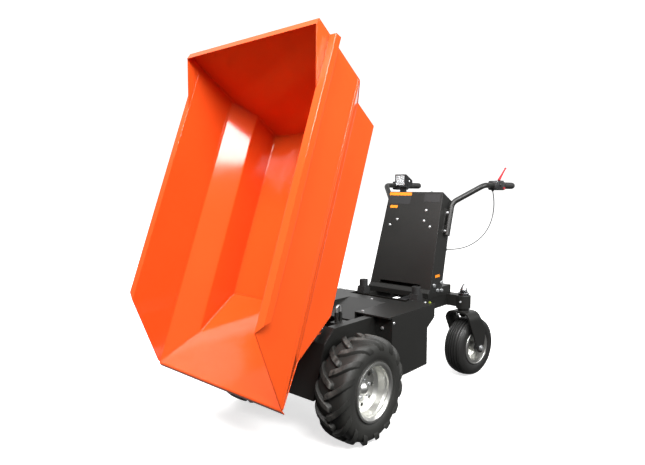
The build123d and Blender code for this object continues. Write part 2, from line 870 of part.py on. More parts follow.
seam_z = slant_z + seam_rise
chute_way = Vector(lip_u - floor_front_u, 0, slant_z).normalized()
chute_up = Vector(-chute_way.Z, 0, chute_way.X)
rear_up = Vector(-rear_lean, 0, 1).normalized()
rear_in = Vector(rear_up.Z, 0, -rear_up.X)
rear_step = skip_sheet / rear_in.X
head = Vector(rear_at(head_z), 0, head_z)
outer_section = section(0)


def chute_line(inset, w):
    shift = inset / chute_up.Z
    return floor_front_u + (w - shift) * chute_way.X / chute_way.Z


def front_at(w):
    return lip_u + (w - slant_z) * (rim_front_u - lip_u) / (rim_z - slant_z)


def flat(points):
    return [(p.X, p.Z) for p in points]


def skip_rear():
    inner = head + rear_in * skip_sheet
    wall = [(rear_at(0), 0), (rear_at(0) + rear_step, 0)] + flat([inner, head])
    fold = [head, head + rear_in * head_fold]
    fold += [p - rear_up * skip_sheet for p in fold[::-1]]
    return (prism(wall, -rim_half, rim_half) & outer_section) + prism(flat(fold), -rim_half, rim_half)


def skip_chute():
    points = [(floor_front_u, 0), (lip_u, slant_z)]
    points += [(chute_line(skip_sheet, w), w) for w in (slant_z, 0)]
    slope = prism(points, -rim_half, rim_half) & outer_section
    tip = Vector(lip_u, 0, slant_z)
    fold = [tip, tip - chute_way * skip_sheet]
    fold += [p - chute_up * lip_fold for p in fold[::-1]]
    return slope + prism(flat(fold), -rim_half, rim_half)


def skip_trough():
    ring = outer_section - section(skip_sheet)
    span = [
        (rear_at(0) + rear_step, 0), (chute_line(skip_sheet, 0), 0),
        (chute_line(skip_sheet, slant_z), slant_z), (front_at(seam_z), seam_z),
        (rear_at(seam_z) + rear_step, seam_z),
    ]
    return ring & prism(span, -rim_half, rim_half)


def skip_side():
    rear = rear_at(rim_z) + rear_step
    wall = [(rear_at(seam_z) + rear_step, seam_z), (front_at(seam_z), seam_z)]
    wall += [(rim_front_u, rim_z), (rear, rim_z)]
    side = prism(wall, rim_half - skip_sheet, rim_half)
    outer = rim_half + rim_flange
    corner = rim_front_u - rim_taper
    plan = [(rear, rim_half - skip_sheet), (rear, outer), (corner, outer), (rim_front_u, rim_half)]
    plan.append((rim_front_u, rim_half - skip_sheet))
    flange = make_face(Polyline(*plan, close=True))
    side += extrude(Plane.XY.offset(rim_z - skip_sheet) * flange, amount=skip_sheet)
    low_z = rim_z - rim_return
    edge = [(rear, rim_z), (corner, rim_z), (corner - return_slant, low_z), (rear, low_z)]
    side += prism(edge, outer - skip_sheet, outer)
    return side - skip_rear()


def skip_gusset():
    rim_rear = Vector(rear_at(rim_z) + rear_step, 0, rim_z)
    free = head + rear_in * head_fold - rear_up * skip_sheet
    inner = head + rear_in * skip_sheet - rear_up * skip_sheet
    return prism(flat([rim_rear, Vector(gusset_u, 0, rim_z), free, inner]), rim_half - skip_sheet, rim_half)


def hinge_lug():
    out, down = hinge_neck
    points = [
        (pivot_u - lug_heel, 0), (chute_line(0, 0), 0), (chute_line(0, lug_rise), lug_rise),
        (pivot_u + out, pivot_w + down), (pivot_u, pivot_w), (pivot_u - out, pivot_w - down),
    ]
    inner = ear_y + ear_sheet + lug_gap
    outer = inner + lug_sheet
    lug = prism(points, inner, outer) + rod_y(pivot_u, pivot_w, hinge_boss_radius, inner, outer)
    return lug - rod_y(pivot_u, pivot_w, hinge_pin_radius + running_fit, inner - past, outer + past)


def underframe():
    inner = runner_y - runner_width / 2
    runner = slab(runner_rear_u, pivot_u - runner_stop, inner, inner + runner_width, -runner_height, 0)
    runner -= slab(runner_rear_u - past, pivot_u, inner + skip_sheet, inner + runner_width - skip_sheet,
                   skip_sheet - runner_height, past)
    left = runner + hinge_lug()
    return left + mirrored(left)


def tipped(solid):
    turn = Pos(pivot_x, 0, pivot_z) * Rot(0, tip_angle, 0) * Pos(-pivot_u, 0, -pivot_w)
    return turn * solid


nodes["skip_rear"] = tipped(skip_rear())
nodes["skip_chute"] = tipped(skip_chute())
nodes["skip_trough"] = tipped(skip_trough())
both("skip_side", tipped(skip_side()))
gusset = skip_gusset()
nodes["skip_gussets"] = tipped(gusset + mirrored(gusset))
nodes["skip_underframe"] = tipped(underframe())


# Hinge ears and pins, rest buffers and the catch on the chassis
def hinge_ear():
    out, down = hinge_neck
    points = [
        (nose_top_x, chassis_top_z), (nose_bend_x, nose_bend_z), (pivot_x + out, pivot_z - down),
        (pivot_x, pivot_z), (pivot_x - out, pivot_z + down),
    ]
    ear = prism(points, ear_y, ear_y + ear_sheet)
    ear += rod_y(pivot_x, pivot_z, hinge_boss_radius, ear_y, ear_y + ear_sheet)
    pin_end = ear_y + ear_sheet + 2 * lug_gap + lug_sheet
    ear += rod_y(pivot_x, pivot_z, hinge_pin_radius, ear_y, pin_end)
    return ear + rod_y(pivot_x, pivot_z, pin_head_radius, pin_end, pin_end + pin_head)


def rest_buffer():
    top = floor_low_z - rest_clearance
    seat = top - rest_height
    foot = [(rest_x - rest_foot, rail_top), (rest_x + rest_foot, rail_top)]
    foot += [(rest_x + rest_radius, seat), (rest_x - rest_radius, seat)]
    buffer = prism(foot, rest_y - rest_radius, rest_y + rest_radius)
    buffer += rod_z(rest_x, rest_y, rest_radius, seat, top)
    return buffer - rod_z(rest_x, rest_y, rest_recess_radius, top - rest_recess, top + past)


ear = hinge_ear()
nodes["hinge_ears"] = ear + mirrored(ear)
buffer = rest_buffer()
nodes["rest_buffers"] = buffer + mirrored(buffer)


def catch():
    shelf_top = chassis_top_z - plate
    edge = chassis_half - plate - top_flange
    y = edge - catch_inset
    top = floor_low_z - rest_clearance - catch_drop
    half = catch_span / 2
    base = slab(catch_x - catch_half, catch_x + catch_half, y - catch_toe, edge + catch_lap,
                shelf_top - plate, shelf_top)
    bow = Wire([
        Line((catch_x - half, y, shelf_top), (catch_x - half, y, top - half)),
        ThreePointArc((catch_x - half, y, top - half), (catch_x, y, top), (catch_x + half, y, top - half)),
        Line((catch_x + half, y, top - half), (catch_x + half, y, shelf_top)),
    ])
    hoop = sweep(Plane((catch_x - half, y, shelf_top), z_dir=(0, 0, 1)) * Circle(catch_wire_radius), path=bow)
    for side in (1, -1):
        base += rod_z(catch_x + side * half, y, catch_post_radius, shelf_top, shelf_top + catch_post_height)
    return base - hoop, hoop


nodes["skip_catch"], nodes["catch_hoop"] = catch()

# The origin goes under the middle of the whole machine
boxes = [solid.bounding_box() for solid in nodes.values()]
middle_x = (min(b.min.X for b in boxes) + max(b.max.X for b in boxes)) / 2
print("axle stands at x =", round(-middle_x, 3))

os.makedirs("parts", exist_ok=True)
for name, solid in nodes.items():
    export_step(Pos(-middle_x, 0, 0) * solid, f"parts/{name}.step")
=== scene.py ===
import bpy, bmesh, json
from math import cos, pi, radians, sin
from mathutils import Matrix, Vector


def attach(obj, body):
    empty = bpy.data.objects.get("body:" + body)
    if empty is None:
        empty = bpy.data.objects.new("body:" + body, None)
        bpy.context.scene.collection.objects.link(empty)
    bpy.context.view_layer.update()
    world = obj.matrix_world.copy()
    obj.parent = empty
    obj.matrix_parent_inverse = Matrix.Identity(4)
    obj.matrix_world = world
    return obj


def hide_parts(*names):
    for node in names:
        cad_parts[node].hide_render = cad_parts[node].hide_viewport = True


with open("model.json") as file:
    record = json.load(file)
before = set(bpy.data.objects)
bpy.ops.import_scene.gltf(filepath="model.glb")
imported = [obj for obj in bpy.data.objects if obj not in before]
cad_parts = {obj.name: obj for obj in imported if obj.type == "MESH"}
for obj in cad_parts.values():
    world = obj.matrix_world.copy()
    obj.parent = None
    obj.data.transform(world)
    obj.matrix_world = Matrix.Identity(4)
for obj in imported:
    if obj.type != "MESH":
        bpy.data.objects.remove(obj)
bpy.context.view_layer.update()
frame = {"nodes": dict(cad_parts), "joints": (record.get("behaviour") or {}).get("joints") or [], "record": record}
nodes = frame["nodes"]
joints = {joint["name"]: joint for joint in frame["joints"]}
axle = Vector(joints["drive_spin_left"]["pos_m"])
print("frame loaded:", len(nodes), "nodes")

# Places are millimetres ahead of the drive axle, to the left and up from the ground, as in the source
skipHinge = {"along": 345.0, "under": 60.0, "tip": -joints["skip_tip"]["range_deg"][0]}


def at(x, y, z):
    return Vector((axle.x + x / 1000, y / 1000, z / 1000))


def skipAt(u, y, w):  # a place in the skip's own frame: u forward along its floor, w up from it
    tip = radians(skipHinge["tip"])
    pivot = Vector(joints["skip_tip"]["pos_m"])
    along, up = (u - skipHinge["along"]) / 1000, (w + skipHinge["under"]) / 1000
    return pivot + Vector((along * cos(tip) + up * sin(tip), y / 1000, up * cos(tip) - along * sin(tip)))


# Where the photograph was taken from: millimetres from the drive axle, angles in degrees
cameraSetup = {
    "place": (1573.65, 1470.8, 962.3),
    "yaw": 221.14,
    "pitch": -4.69,
    "roll": 0.29,
    "lens": 29.33,
    "sensor": 36.0,
}


def makeCamera(setup):
    yaw, pitch, roll = (radians(setup[key]) for key in ("yaw", "pitch", "roll"))
    forward = Vector((cos(yaw) * cos(pitch), sin(yaw) * cos(pitch), sin(pitch)))
    level = Vector((sin(yaw), -cos(yaw), 0))
    rise = level.cross(forward)
    right = level * cos(roll) + rise * sin(roll)
    up = rise * cos(roll) - level * sin(roll)
    data = bpy.data.cameras.new("camera")
    data.lens = setup["lens"]
    data.sensor_width = setup["sensor"]
    data.sensor_fit = "HORIZONTAL"
    camera = bpy.data.objects.new("camera", data)
    turn = Matrix((right, up, -forward)).transposed().to_4x4()
    camera.matrix_world = Matrix.Translation(at(*setup["place"])) @ turn
    bpy.context.scene.collection.objects.link(camera)
    bpy.context.scene.camera = camera


makeCamera(cameraSetup)
print("camera placed")


# Small helpers for finishes
def linear(hexColour):
    channels = [int(hexColour[i:i + 2], 16) / 255 for i in (1, 3, 5)]
    return [c / 12.92 if c <= 0.04045 else ((c + 0.055) / 1.055) ** 2.4 for c in channels] + [1.0]


def addNode(tree, kind, settings=None, links=None):
    node = tree.nodes.new(kind)
    for name, value in (settings or {}).items():
        if isinstance(name, int) or name in node.inputs:
            node.inputs[name].default_value = value
        else:
            setattr(node, name, value)
    for name, source in (links or {}).items():
        tree.links.new(source, node.inputs[name])
    return node


def perMetre(millimetres):  # a noise scale whose blotches are about this wide
    return 1000 / millimetres


def mixed(tree, factor, first, second):
    mix = addNode(tree, "ShaderNodeMix", {"data_type": "RGBA"}, {"Factor": factor})
    for socket, colour in ((mix.inputs[6], first), (mix.inputs[7], second)):
        if isinstance(colour, str):
            socket.default_value = linear(colour)
        else:
            tree.links.new(colour, socket)
    return mix.outputs[2]


# A finish is a tinted, slightly uneven surface. In millimetres: blotch is the width of its patches, relief
# the width and height of its bumps, and edge the radius to which the paint or the mould rounds a corner
def makeFinish(setup):
    finish = bpy.data.materials.new(setup["name"])
    finish.use_nodes = True
    tree = finish.node_tree
    tree.nodes.clear()
    shader = addNode(tree, "ShaderNodeBsdfPrincipled")
    addNode(tree, "ShaderNodeOutputMaterial", links={"Surface": shader.outputs[0]})
    place = addNode(tree, "ShaderNodeTexCoord").outputs["Object"]
    cloud = addNode(tree, "ShaderNodeTexNoise", {"Scale": perMetre(setup["blotch"]), "Detail": 4.0},
                    {"Vector": place})
    colour = mixed(tree, cloud.outputs["Fac"], setup["colour"], setup["second"])
    if "dust" in setup:
        colour = dusted(tree, setup["dust"], place, colour)
    low, high = setup["roughness"]
    gloss = addNode(tree, "ShaderNodeMapRange", {"To Min": low, "To Max": high},
                    {"Value": cloud.outputs["Fac"]})
    corner = addNode(tree, "ShaderNodeBevel", {"Radius": setup["edge"] / 1000, "samples": 4})
    normal = corner.outputs["Normal"]
    for width, height in setup["relief"]:
        noise = addNode(tree, "ShaderNodeTexNoise", {"Scale": perMetre(width), "Detail": 1.5},
                        {"Vector": place})
        bump = addNode(tree, "ShaderNodeBump", {"Strength": 1.0, "Distance": height / 1000},
                       {"Height": noise.outputs["Fac"], "Normal": normal})
        normal = bump.outputs["Normal"]
    sources = {"Base Color": colour, "Roughness": gloss.outputs["Result"], "Normal": normal}
    for name, source in sources.items():
        tree.links.new(source, shader.inputs[name])
    for name, value in setup.get("shader", {}).items():
        shader.inputs[name].default_value = value
    return finish


# Dry soil left on the lugs: it starts at a radius from the axle, lies in patches, is thickest along the
# middle of the tread and fades sideways
def dusted(tree, setup, place, colour):
    fromAxle = addNode(tree, "ShaderNodeVectorMath", {"operation": "SUBTRACT", 1: axle}, {0: place})
    flat = addNode(tree, "ShaderNodeVectorMath", {"operation": "MULTIPLY", 1: (1, 0, 1)},
                   {0: fromAxle.outputs[0]})
    radius = addNode(tree, "ShaderNodeVectorMath", {"operation": "LENGTH"}, {0: flat.outputs[0]})
    start, end = (mm / 1000 for mm in setup["radius"])
    reach = addNode(tree, "ShaderNodeMapRange", {"From Min": start, "From Max": end},
                    {"Value": radius.outputs["Value"]})
    patch = addNode(tree, "ShaderNodeTexNoise", {"Scale": perMetre(setup["patch"]), "Detail": 4.0},
                    {"Vector": place})
    bare, full = setup["cover"]
    thin = addNode(tree, "ShaderNodeMapRange", {"From Min": bare, "From Max": full},
                   {"Value": patch.outputs["Fac"]})
    amount = addNode(tree, "ShaderNodeMath", {"operation": "MULTIPLY"},
                     {0: reach.outputs["Result"], 1: thin.outputs["Result"]})
    sideways = addNode(tree, "ShaderNodeSeparateXYZ", links={0: place}).outputs["Y"]
    fromMiddle = addNode(tree, "ShaderNodeMath", {"operation": "ABSOLUTE"}, {0: sideways})
    fromTread = addNode(tree, "ShaderNodeMath", {"operation": "SUBTRACT", 1: setup["middle"] / 1000},
                        {0: fromMiddle.outputs[0]})
    offTread = addNode(tree, "ShaderNodeMath", {"operation": "ABSOLUTE"}, {0: fromTread.outputs[0]})
    inner, outer = (mm / 1000 for mm in setup["fade"])
    fading = {"From Min": inner, "From Max": outer, "To Min": setup["most"], "To Max": 0.0}
    fade = addNode(tree, "ShaderNodeMapRange", fading, {"Value": offTread.outputs[0]})
    amount = addNode(tree, "ShaderNodeMath", {"operation": "MULTIPLY"},
                     {0: amount.outputs[0], 1: fade.outputs["Result"]})
    return mixed(tree, amount.outputs[0], colour, setup["colour"])


# Orange enamel: gloss powder coat baked on folded steel sheet. The eye gets long soft reflections that
# waver, because thin sheet is never quite flat, and a faint orange peel
orangeEnamel = {
    "name": "orange_enamel_on_sheet_steel",
    "colour": "#E85721", "second": "#E24F1B", "blotch": 260.0,
    "roughness": (0.07, 0.12), "relief": [(330.0, 2.2), (5.0, 0.012)], "edge": 4.0,
    "shader": {"IOR": 1.5},
}
# Black powder coat: satin polyester powder on steel, a fine even grit that gives wide, weak highlights
blackPowder = {
    "name": "black_satin_powder_coat",
    "colour": "#1B1B1A", "second": "#21211F", "blotch": 180.0,
    "roughness": (0.36, 0.46), "relief": [(2.2, 0.03)], "edge": 2.5,
    "shader": {"IOR": 1.5},
}
# Cast aluminium: left as it came from the sand, so it is pale and rough
castAluminium = {
    "name": "sand_cast_aluminium",
    "colour": "#8E8F91", "second": "#7F8083", "blotch": 40.0,
    "roughness": (0.45, 0.6), "relief": [(1.6, 0.1)], "edge": 3.0,
    "shader": {"Metallic": 1.0},
}
# Polypropylene: moulded battery case, dull black with rounded corners
polypropylene = {
    "name": "moulded_polypropylene",
    "colour": "#242425", "second": "#2A2A2B", "blotch": 120.0,
    "roughness": (0.5, 0.6), "relief": [(3.0, 0.03)], "edge": 3.0,
    "shader": {"IOR": 1.49},
}
# ABS panel: spark-eroded mould grain, so black turns to a soft dark grey under light
grainedAbs = {
    "name": "grained_abs_plastic",
    "colour": "#1F1F20", "second": "#252526", "blotch": 90.0,
    "roughness": (0.45, 0.55), "relief": [(1.2, 0.05)], "edge": 1.5,
    "shader": {"IOR": 1.54},
}
# Grip rubber: soft moulded thermoplastic rubber, matt with no clear reflection
gripRubber = {
    "name": "moulded_grip_rubber",
    "colour": "#1B1B1B", "second": "#232323", "blotch": 30.0,
    "roughness": (0.65, 0.8), "relief": [(1.5, 0.05)], "edge": 1.5,
    "shader": {"IOR": 1.52},
}
# Nylon: glass-filled moulding of the lever perches, slightly shiny
filledNylon = {
    "name": "glass_filled_nylon",
    "colour": "#202021", "second": "#262627", "blotch": 40.0,
    "roughness": (0.35, 0.48), "relief": [(1.0, 0.02)], "edge": 1.5,
    "shader": {"IOR": 1.53},
}
# Red lever: dipped in gloss vinyl, so it has a thick skin with round edges
redVinyl = {
    "name": "red_vinyl_dip",
    "colour": "#B3222B", "second": "#A81D27", "blotch": 30.0,
    "roughness": (0.2, 0.3), "relief": [(4.0, 0.02)], "edge": 3.0,
    "shader": {"IOR": 1.52},
}
# Cable sheath: extruded grey polyethylene over a steel spiral
greySheath = {
    "name": "grey_polyethylene_sheath",
    "colour": "#303132", "second": "#2A2B2C", "blotch": 40.0,
    "roughness": (0.45, 0.55), "relief": [(2.0, 0.01)], "edge": 0.5,
    "shader": {"IOR": 1.51},
}
# Lamp body: die-cast aluminium under black epoxy, finely rough
blackCasting = {
    "name": "black_epoxy_on_die_casting",
    "colour": "#1D1D1E", "second": "#242425", "blotch": 40.0,
    "roughness": (0.4, 0.5), "relief": [(1.0, 0.03)], "edge": 1.0,
    "shader": {"IOR": 1.5},
}
# Polycarbonate: clear moulded lens with a polished face, so the white reflector behind it shows
clearPolycarbonate = {
    "name": "clear_polycarbonate",
    "colour": "#F4F6F8", "second": "#EEF1F4", "blotch": 60.0,
    "roughness": (0.04, 0.06), "relief": [(8.0, 0.01)], "edge": 1.0,
    "shader": {"IOR": 1.58, "Transmission Weight": 0.9},
}
# Tractor tyre: carbon-black rubber from a steel mould, satin when new, with dry soil on the lugs' tips
tyreRubber = {
    "name": "carbon_black_tyre_rubber",
    "colour": "#222220", "second": "#2A2A27", "blotch": 60.0,
    "roughness": (0.5, 0.65), "relief": [(14.0, 0.2), (1.6, 0.05)], "edge": 1.0,
    "dust": {"colour": "#807E79", "radius": (200.0, 205.0), "patch": 22.0, "cover": (0.35, 0.75),
             "middle": 295.0, "fade": (14.0, 58.0), "most": 0.6},
    "shader": {"IOR": 1.52},
}
# Caster tyre: the same rubber, but it never leaves hard ground and stays clean
casterRubber = {
    "name": "clean_tyre_rubber",
    "colour": "#20201F", "second": "#282827", "blotch": 50.0,
    "roughness": (0.36, 0.48), "relief": [(10.0, 0.1), (1.6, 0.04)], "edge": 1.0,
    "shader": {"IOR": 1.52},
}
# Zinc plate: bright electroplate on spun steel, silvery with a soft brushed blur
zincPlate = {
    "name": "bright_zinc_plate",
    "colour": "#DCDCD8", "second": "#CFCFCB", "blotch": 50.0,
    "roughness": (0.34, 0.44), "relief": [(1.4, 0.01)], "edge": 1.5,
    "shader": {"Metallic": 1.0},
}
# Enamelled reflector: white stove enamel on pressed steel, so the lamp looks bright with its light off
whiteEnamel = {
    "name": "white_stove_enamel",
    "colour": "#F6F7F7", "second": "#EEF0F0", "blotch": 30.0,
    "roughness": (0.2, 0.3), "relief": [(6.0, 0.01)], "edge": 0.5,
    "shader": {"IOR": 1.5},
}
# Yellow-green cap: moulded polyethylene, waxy and slightly see-through at the rim
greenPolyethylene = {
    "name": "yellow_green_polyethylene",
    "colour": "#8A982E", "second": "#808F28", "blotch": 20.0,
    "roughness": (0.4, 0.5), "relief": [(2.0, 0.02)], "edge": 1.0,
    "shader": {"IOR": 1.51},
}
# Buffer rubber: hard moulded rubber, dull black
bufferRubber = {
    "name": "moulded_buffer_rubber",
    "colour": "#1C1C1C", "second": "#242424", "blotch": 25.0,
    "roughness": (0.6, 0.75), "relief": [(2.0, 0.05)], "edge": 2.0,
    "shader": {"IOR": 1.52},
}
# Bright steel: fasteners and wire with a pale zinc flake coat, which scatters light as well as mirroring it
brightSteel = {
    "name": "zinc_flake_on_steel",
    "colour": "#DADCDD", "second": "#CFD1D2", "blotch": 20.0,
    "roughness": (0.26, 0.38), "relief": [(10.0, 0.02)], "edge": 0.8,
    "shader": {"Metallic": 0.85},
}

finishes = {
    "skip_paint": makeFinish(orangeEnamel), "frame_paint": makeFinish(blackPowder),
    "drive_casting": makeFinish(castAluminium), "battery_case": makeFinish(polypropylene),
    "panel_plastic": makeFinish(grainedAbs), "grip_rubber": makeFinish(gripRubber),
    "control_plastic": makeFinish(filledNylon), "lever_red": makeFinish(redVinyl),
    "cable_sheath": makeFinish(greySheath), "lamp_body": makeFinish(blackCasting),
    "lamp_glass": makeFinish(clearPolycarbonate), "tyre_rubber": makeFinish(tyreRubber),
    "rim_zinc": makeFinish(zincPlate), "buffer_rubber": makeFinish(bufferRubber),
    "bright_steel": makeFinish(brightSteel),
}
for part in frame["record"]["subparts"]:
    cadObject = nodes[part["node"]]
    cadObject.data.materials.clear()
    cadObject.data.materials.append(finishes[part["material_slot"]])
print("finishes made:", len(finishes))


# The brake cable, along the route of its solid in the part's source, as a smooth line
brakeCable = {
    "route": [
        (-1140, 304, 958), (-1157, 304, 922), (-1165, 303, 877), (-1158, 301, 824), (-1132, 295, 771),
        (-1092, 282, 724), (-1044, 259, 687), (-994, 227, 662), (-948, 190, 652), (-914, 160, 652),
    ],
    "diameter": 5.0,
    "length": 494.0,
}


def makeCable(setup):
    data = bpy.data.curves.new("brakeCable", "CURVE")
    data.dimensions = "3D"
    data.bevel_depth = setup["diameter"] / 2000
    data.bevel_resolution = 4
    data.use_fill_caps = True
    spline = data.splines.new("NURBS")
    spline.points.add(len(setup["route"]) - 1)
    for point, place in zip(spline.points, setup["route"]):
        point.co = (*at(*place), 1)
    spline.order_u = 3
    spline.use_endpoint_u = True
    spline.resolution_u = 12
    data.materials.append(finishes["cable_sheath"])
    cable = bpy.data.objects.new("brakeCable", data)
    bpy.context.scene.collection.objects.link(cable)
    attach(cable, "chassis")
    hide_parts("brake_cable")


makeCable(brakeCable)
print("cable laid")


# Small helpers for pieces: a mesh is drawn in millimetres and placed by a matrix
seatDepth = 0.3  # how far a head is set into its seat, so that no gap shows


def placed(place, turn=None):
    return Matrix.Translation(place) @ (turn or Matrix()) @ Matrix.Scale(0.001, 4)


def facing(axis):
    return Vector(axis).to_track_quat("Z", "Y").to_matrix().to_4x4()


def showPiece(name, mesh, body, slot, sharp=40.0, finish=None):
    bmesh.ops.recalc_face_normals(mesh, faces=mesh.faces)
    for face in mesh.faces:
        face.smooth = True
    for edge in mesh.edges:
        edge.smooth = len(edge.link_faces) == 2 and edge.calc_face_angle() < radians(sharp)
    data = bpy.data.meshes.new(name)
    mesh.to_mesh(data)
    mesh.free()
    data.materials.append(finish or finishes[slot])
    piece = bpy.data.objects.new(name, data)
    bpy.context.scene.collection.objects.link(piece)
    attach(piece, body)
    return piece


def smoothLine(points, steps):  # an even curve through the points
    line = []
    last = len(points) - 1
    for i in range(last):
        before, start, end, after = (Vector(points[min(max(i + k, 0), last)]) for k in (-1, 0, 1, 2))
        for step in range(steps):
            t = step / steps
            square = before * 2 - start * 5 + end * 4 - after
            cube = start * 3 - before - end * 3 + after
            bend = square * t ** 2 + cube * t ** 3
            line.append((start * 2 + (end - before) * t + bend) / 2)
    return line + [Vector(points[-1])]


def addTurned(mesh, section, sides, matrix):  # a closed section of (y, radius) turned about the y axis
    rows = []
    for i in range(sides):
        turn = 2 * pi * i / sides
        ring = [matrix @ Vector((r * cos(turn), y, r * sin(turn))) for y, r in section]
        rows.append([mesh.verts.new(point) for point in ring])
    for here, after in zip(rows, rows[1:] + rows[:1]):
        for i in range(len(section)):
            mesh.faces.new((here[i], here[i - 1], after[i - 1], after[i]))


def addSkin(mesh, rings):  # a skin over rings of points, closed at both ends
    rows = [[mesh.verts.new(point) for point in ring] for ring in rings]
    for here, after in zip(rows, rows[1:]):
        for i in range(len(here)):
            mesh.faces.new((here[i], here[i - 1], after[i - 1], after[i]))
    mesh.faces.new(rows[0])
    mesh.faces.new(rows[-1][::-1])


def addStack(mesh, matrix, stack):  # rings one on another: lower radius, upper radius, height, sides
    low = -seatDepth
    for lower, upper, height, sides in stack:
        lift = Matrix.Translation((0, 0, low + height / 2))
        bmesh.ops.create_cone(mesh, cap_ends=True, segments=sides, radius1=lower, radius2=upper,
                              depth=height, matrix=matrix @ lift)
        low += height


def addSlab(mesh, matrix, size):
    bmesh.ops.create_cube(mesh, size=1.0, matrix=matrix @ Matrix.Diagonal((*size, 1)))


# Drive tyres. A lug runs from nose to tail in stations: sideways of its top and of its foot, lead in
# degrees, radius of its top and of its foot, half width of its top and of its foot
driveTyre = {
    "centre": (0.0, 295.0, 205.0),
    "sides": 120,
    "section": [
        (0, 190), (22, 190), (42, 189), (54, 186.5), (62.5, 181), (68.5, 172), (71.5, 160), (72, 148),
        (71, 137), (69, 130), (67.5, 126), (65, 121.5), (64, 118), (64, 101),
    ],
    "lugCount": 15,
    "phase": 6.0,
    "edge": 2.2,
    "lug": [
        (-12, -19, -0.6, 201.5, 176, 8, 14), (-8.5, -16, 0.0, 204.6, 176, 11, 17),
        (0, -4, 1.3, 205, 176, 12.5, 19.5), (20, 20, 4.4, 205, 176, 12.5, 20),
        (40, 40, 9.0, 203.5, 176, 12.5, 20), (55, 55, 13.2, 200, 174, 13, 20),
        (65, 63, 16.8, 194, 168, 13.5, 19), (71.5, 67, 20.0, 184, 160, 14, 17),
        (74.5, 68, 23.0, 171, 154, 14, 15.5), (73.5, 67, 24.5, 160, 150, 12, 12.5),
    ],
}


def makeDriveTyre(setup, side, wheel):
    mesh = bmesh.new()
    x, y, z = setup["centre"]
    matrix = placed(at(x, side * y, z), Matrix.Diagonal((1, side, 1, 1)))
    half = smoothLine(setup["section"][:-1], 3) + [Vector(setup["section"][-1])]
    section = [(-p.x, p.y) for p in half[:0:-1]] + [(p.x, p.y) for p in half]
    addTurned(mesh, section, setup["sides"], matrix)
    pitch = 360 / setup["lugCount"]
    edge = setup["edge"]
    for row in (1, -1):
        for i in range(setup["lugCount"]):
            start = (i + (row < 0) / 2) * pitch + setup["phase"]
            rings = []
            for top, foot, lead, high, low, topHalf, footHalf in setup["lug"]:
                corners = [
                    (foot, low, -footHalf), (top, high - edge, -topHalf), (top, high, edge - topHalf),
                    (top, high, topHalf - edge), (top, high - edge, topHalf), (foot, low, footHalf),
                ]
                ring = []
                for wide, r, across in corners:
                    turn = radians(start + lead) + across / high
                    ring.append(matrix @ Vector((r * cos(turn), row * wide, r * sin(turn))))
                rings.append(ring)
            addSkin(mesh, rings)
    tyre = showPiece("driveTyre" + wheel, mesh, "drive_wheel_" + wheel.lower(), "tyre_rubber", 48.0)
    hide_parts("drive_tyre_" + wheel.lower())


# Caster tyres: ribbed all round, crowned, with a rounded shoulder, on rims with rolled edges. A rib's section
# is given in shares of its width and depth in millimetres, and the floor of a groove in shares only
casterTyre = {
    "sides": 112,
    "toe": -10.0,
    "radius": 153.0,
    "crown": 8.0,
    "tread": 40.0,
    "ribs": 6,
    "groove": 7.0,
    "rib": [(0, 1.6), (0.15, 0.3), (0.5, 0), (0.85, 0.3), (1, 1.6)],
    "floor": (1.3, 1.7),
    "wall": [
        (43, 143.5), (48.5, 136.5), (53, 126), (54, 115), (52, 103), (48.5, 95), (45.5, 90.5), (44, 88),
    ],
    "bead": (44, 75),
    "edgeMiddle": (48.3, 86.3),
    "edgeRadius": 4.2,
    "edgeSides": 12,
}


def makeCasterTyre(setup, wheel):
    mesh = bmesh.new()
    place = Vector(joints["caster_spin_" + wheel.lower()]["pos_m"])
    matrix = placed(place, Matrix.Rotation(radians(setup["toe"]), 4, "Z"))
    half, ribs = setup["tread"], setup["ribs"]
    rib = 2 * half / (2 * ribs - 1)
    tread = []
    for i in range(ribs):
        start = -half + 2 * i * rib
        cuts = setup["rib"] + [(share, setup["groove"]) for share in setup["floor"]]
        for share, deep in cuts:
            y = start + share * rib
            tread.append((y, setup["radius"] - setup["crown"] * (y / half) ** 2 - deep))
    wall = [(p.x, p.y) for p in smoothLine(setup["wall"], 3)] + [setup["bead"]]
    section = [(-y, r) for y, r in wall[::-1]] + tread[:-2] + wall
    addTurned(mesh, section, setup["sides"], matrix)
    body = "caster_wheel_" + wheel.lower()
    tyre = showPiece("casterTyre" + wheel, mesh, body, "tyre_rubber", 40.0, casterFinish)
    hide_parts("caster_tyre_" + wheel.lower())
    mesh = bmesh.new()
    (y, r), radius = setup["edgeMiddle"], setup["edgeRadius"]
    turns = [2 * pi * k / setup["edgeSides"] for k in range(setup["edgeSides"])]
    for side in (1, -1):
        ring = [(side * y + radius * cos(turn), r + radius * sin(turn)) for turn in turns]
        addTurned(mesh, ring, setup["sides"], matrix)
    showPiece("casterRimEdges" + wheel, mesh, body, "rim_zinc", 60.0)


casterFinish = makeFinish(casterRubber)
for wheelSide, wheelName in ((1, "Left"), (-1, "Right")):
    makeDriveTyre(driveTyre, wheelSide, wheelName)
    makeCasterTyre(casterTyre, wheelName)
print("tyres moulded")

# Weld beads where the skip's panels meet. The section is half of the trough, seen from the front: (y, w)
weldBead = {
    "radius": 3.2,
    "sides": 6,
    "ripple": 0.22,
    "pitch": 5.0,
    "step": 1.25,
    "section": [(0, 3), (262, 3), (272, 13), (272, 127), (341, 222)],
    "rimTop": (341, 412),
    "rear": (-438.8, -0.303),
    "chute": (281.0, 1.5),
}


